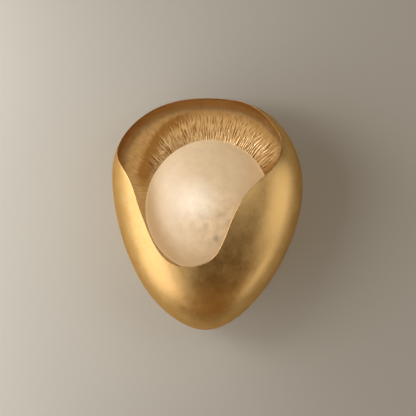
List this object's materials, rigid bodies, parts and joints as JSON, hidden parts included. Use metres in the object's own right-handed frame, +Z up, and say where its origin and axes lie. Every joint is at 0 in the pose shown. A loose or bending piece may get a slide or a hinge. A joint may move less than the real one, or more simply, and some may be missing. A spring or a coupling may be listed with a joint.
{
  "type": "shell wall sconce",
  "caption": "Wall sconce with a folded gold-leaf shell that wraps round a twist-lock alabaster globe, on a wall pan and box bracket.",
  "frame": {"origin": "on the wall, where the lamp axis meets it: the middle of the bracket's two box-screw slots", "axes": "+Z up, +X to the right as seen from the room, the room towards -Y and the wall face at y = 0"},
  "size_m": [0.2294, 0.1463, 0.2791],
  "materials": {
    "gold_leaf": "gold leaf over primed steel, satin, fine mottled leaf",
    "gold_paint": "satin gold paint",
    "zinc_steel": "zinc plated",
    "green_steel": "green passivated",
    "brass_metal": "satin",
    "cast_alloy": "machined",
    "nylon": "moulded",
    "ceramic": "glazed",
    "white_enamel": "gloss enamel",
    "alabaster": "honed stone, translucent",
    "silicone": "matt",
    "phosphor_post": "phosphor coated",
    "clear_glass": "clear"
  },
  "bodies": {
    "wall_side": {"wall_bracket": "zinc_steel", "ground_washer": "zinc_steel", "ground_screw": "green_steel"},
    "thumb_left": {"side_screw_left": "brass_metal"},
    "thumb_right": {"side_screw_right": "brass_metal"},
    "fixture": {"back_pan": "gold_paint", "wire_bush": "nylon", "terminal_block": "nylon", "terminal_screws": "brass_metal", "shell": "gold_leaf", "globe_seat": "cast_alloy", "seat_screws": "zinc_steel", "seat_washers": "zinc_steel", "seat_nuts": "zinc_steel", "socket_bridge": "zinc_steel", "bridge_screws": "zinc_steel", "bridge_nuts": "zinc_steel", "lamp_socket": "ceramic", "socket_contacts": "brass_metal", "reflector": "white_enamel", "socket_screws": "zinc_steel"},
    "globe_unit": {"globe": "alabaster", "globe_collar": "cast_alloy", "globe_cushion": "silicone"},
    "bulb_unit": {"bulb_base": "ceramic", "bulb_pins": "zinc_steel", "bulb_core": "phosphor_post", "bulb_envelope": "clear_glass"}
  },
  "joints": [
    {"name": "thumb_left_travel", "type": "slide", "parent": "wall_side", "child": "thumb_left", "axis": [-1, 0, 0], "range_m": [0, 0.004]},
    {"name": "thumb_right_travel", "type": "slide", "parent": "wall_side", "child": "thumb_right", "axis": [1, 0, 0], "range_m": [0, 0.004]},
    {"name": "fixture_pull", "type": "slide", "parent": "wall_side", "child": "fixture", "axis": [0, -1, 0], "range_m": [0, 0.03]},
    {"name": "globe_turn", "type": "hinge", "parent": "fixture", "child": "globe_unit", "pos_m": [0, 0, 0], "axis": [0, -1, 0], "range_deg": [0, 36]},
    {"name": "bulb_pull", "type": "slide", "parent": "fixture", "child": "bulb_unit", "axis": [0, -1, 0], "range_m": [0, 0.012]}
  ]
}
